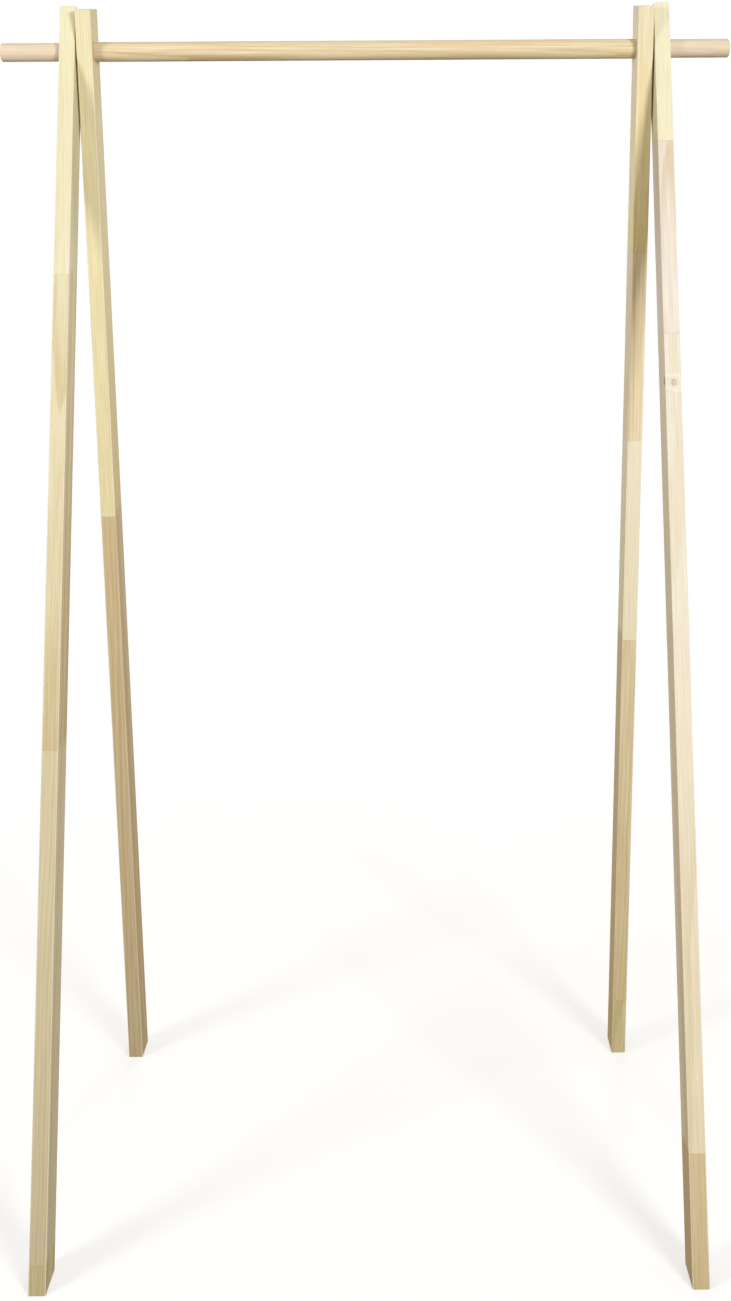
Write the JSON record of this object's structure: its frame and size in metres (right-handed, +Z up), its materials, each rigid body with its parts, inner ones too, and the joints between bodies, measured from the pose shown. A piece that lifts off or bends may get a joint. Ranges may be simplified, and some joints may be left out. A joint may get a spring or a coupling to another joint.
{
  "type": "open clothes stand",
  "caption": "Open wooden clothes stand: a round hanging rail runs through the crossed tops of A-shaped end frames of flat finger-jointed legs, and the rear legs fold about the rail.",
  "frame": {"origin": "on the floor, in the middle of the four feet", "axes": "+X along the rail to the viewer's right, -Y towards the front, +Z up"},
  "size_m": [0.9324, 0.5542, 1.4999],
  "materials": {
    "rail_pine": "turned and sanded, clear matt",
    "leg_pine_straw": "planed and sanded, clear matt",
    "leg_pine_pale": "planed and sanded, clear matt",
    "leg_pine_rose": "planed and sanded, clear matt",
    "leg_pine_honey": "planed and sanded, clear matt",
    "spacer_nylon": "moulded, matt",
    "screw_zinc": "yellow zinc plated"
  },
  "bodies": {
    "rail_frame": {"hanging_rail": "rail_pine", "left_leg_spacer": "spacer_nylon", "right_leg_spacer": "spacer_nylon", "rail_lock_screws": "screw_zinc", "left_front_leg_top": "leg_pine_straw", "left_front_leg_upper": "leg_pine_honey", "left_front_leg_middle": "leg_pine_straw", "left_front_leg_foot": "leg_pine_honey", "right_front_leg_top": "leg_pine_straw", "right_front_leg_upper": "leg_pine_pale", "right_front_leg_middle": "leg_pine_pale", "right_front_leg_foot": "leg_pine_rose"},
    "left_back_leg": {"left_back_leg_top": "leg_pine_straw", "left_back_leg_foot": "leg_pine_rose"},
    "right_back_leg": {"right_back_leg_top": "leg_pine_honey", "right_back_leg_upper": "leg_pine_rose", "right_back_leg_middle": "leg_pine_pale", "right_back_leg_lower": "leg_pine_rose", "right_back_leg_foot": "leg_pine_honey"}
  },
  "joints": [
    {"name": "left_leg_fold", "type": "hinge", "parent": "rail_frame", "child": "left_back_leg", "pos_m": [-0.3561, 0, 1.44291], "axis": [-1, 0, 0], "range_deg": [-10, 20]},
    {"name": "right_leg_fold", "type": "hinge", "parent": "rail_frame", "child": "right_back_leg", "pos_m": [0.3561, 0, 1.44291], "axis": [-1, 0, 0], "range_deg": [-10, 20]}
  ]
}
